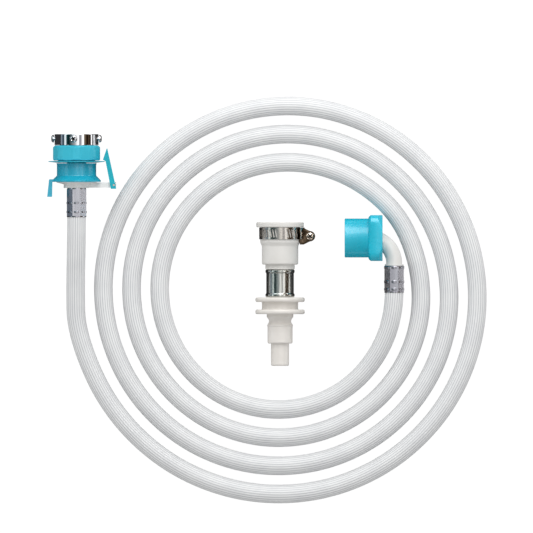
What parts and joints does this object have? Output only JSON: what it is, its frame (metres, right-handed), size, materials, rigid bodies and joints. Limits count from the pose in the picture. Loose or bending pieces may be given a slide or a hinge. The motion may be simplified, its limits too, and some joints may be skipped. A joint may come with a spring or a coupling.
{
  "type": "water inlet hose kit",
  "caption": "Coiled ribbed inlet hose with a ball-lock tap coupler at one end and an elbow with a swivel nut at the other, beside a loose clamp-on tap adapter.",
  "frame": {"origin": "under the middle of the fittings (hose left out), on the surface that the kit lies on", "axes": "the kit lies flat and is seen from +Z; +X from the tap coupler towards the elbow, +Y towards the tap end of the coupler"},
  "size_m": [0.3648, 0.3377, 0.0467],
  "materials": {
    "hose_pvc": "ribbed white PVC with a satin shine",
    "white_plastic": "moulded white acetal",
    "cyan_plastic": "moulded cyan, satin",
    "sleeve_plastic": "warm white elastomer, matt",
    "nozzle_plastic": "off-white, satin",
    "chromed": "polished",
    "ferrule_metal": "polished, crimped",
    "steel": "zinc plated",
    "band_steel": "stainless strip",
    "black_rubber": "matt"
  },
  "bodies": {
    "hose_and_body": {"hose": "hose_pvc", "ferrule_tap_end": "ferrule_metal", "ferrule_elbow_end": "ferrule_metal", "coupler_body": "white_plastic", "retaining_clip": "steel", "locking_balls": "steel", "coupler_seal": "black_rubber", "collar_spring": "steel", "lever_pin": "steel", "lever_spring": "steel", "elbow": "white_plastic", "nut_washer": "black_rubber"},
    "collar": {"slide_collar": "cyan_plastic"},
    "lever": {"latch_lever": "cyan_plastic"},
    "tap_nozzle": {"tap_nozzle": "cyan_plastic", "tap_seal": "black_rubber"},
    "lock_ring": {"lock_ring": "cyan_plastic"},
    "grip_ring": {"grip_ring": "chromed"},
    "grip_screw_1": {"grip_screw_1": "steel"},
    "grip_screw_2": {"grip_screw_2": "steel"},
    "grip_screw_3": {"grip_screw_3": "steel"},
    "grip_screw_4": {"grip_screw_4": "steel"},
    "nut": {"elbow_nut": "cyan_plastic"},
    "adapter": {"adapter_sleeve": "sleeve_plastic", "clamp_band": "band_steel", "clamp_housing": "band_steel", "adapter_ferrule": "ferrule_metal", "spool_nozzle": "nozzle_plastic"},
    "clamp_screw": {"clamp_screw": "steel"}
  },
  "joints": [
    {"name": "collar_slide", "type": "slide", "parent": "hose_and_body", "child": "collar", "axis": [0, -1, 0], "range_m": [0, 0.0024], "stiffness_N_per_m": 900, "springref_m": -0.003, "deforming": ["collar_spring"]},
    {"name": "latch_lever_turn", "type": "hinge", "parent": "hose_and_body", "child": "lever", "pos_m": [-0.0924, 0.05395, 0.02335], "axis": [0, 0, -1], "range_deg": [0, 12], "stiffness_Nm_per_rad": 0.05, "springref_deg": -17.19, "deforming": ["lever_spring"]},
    {"name": "tap_swivel", "type": "hinge", "parent": "hose_and_body", "child": "tap_nozzle", "pos_m": [-0.1233, 0.07, 0.02335], "axis": [0, 1, 0], "continuous": true},
    {"name": "lock_ring_turn", "type": "hinge", "parent": "tap_nozzle", "child": "lock_ring", "pos_m": [-0.1233, 0.08, 0.02335], "axis": [0, 1, 0], "continuous": true},
    {"name": "grip_ring_turn", "type": "hinge", "parent": "tap_nozzle", "child": "grip_ring", "pos_m": [-0.1233, 0.09, 0.02335], "axis": [0, 1, 0], "continuous": true},
    {"name": "grip_screw_1_turn", "type": "slide", "parent": "grip_ring", "child": "grip_screw_1", "axis": [-0.1271, 0, 0.9919], "range_m": [-0.0008, 0.002]},
    {"name": "grip_screw_2_turn", "type": "slide", "parent": "grip_ring", "child": "grip_screw_2", "axis": [0.9919, 0, 0.1271], "range_m": [-0.0008, 0.002]},
    {"name": "grip_screw_3_turn", "type": "slide", "parent": "grip_ring", "child": "grip_screw_3", "axis": [0.1271, 0, -0.9919], "range_m": [-0.0008, 0.002]},
    {"name": "grip_screw_4_turn", "type": "slide", "parent": "grip_ring", "child": "grip_screw_4", "axis": [-0.9919, 0, -0.1271], "range_m": [-0.0008, 0.002]},
    {"name": "nut_spin", "type": "hinge", "parent": "hose_and_body", "child": "nut", "pos_m": [0.12, 0.01, 0.01905], "axis": [1, 0, 0], "continuous": true},
    {"name": "adapter_lift", "type": "slide", "parent": "hose_and_body", "child": "adapter", "axis": [0, 0, 1], "range_m": [0, 0.12]},
    {"name": "clamp_screw_turn", "type": "hinge", "parent": "adapter", "child": "clamp_screw", "pos_m": [0.0705, 0.01145, 0.0205], "axis": [0, 0, 1], "continuous": true}
  ]
}
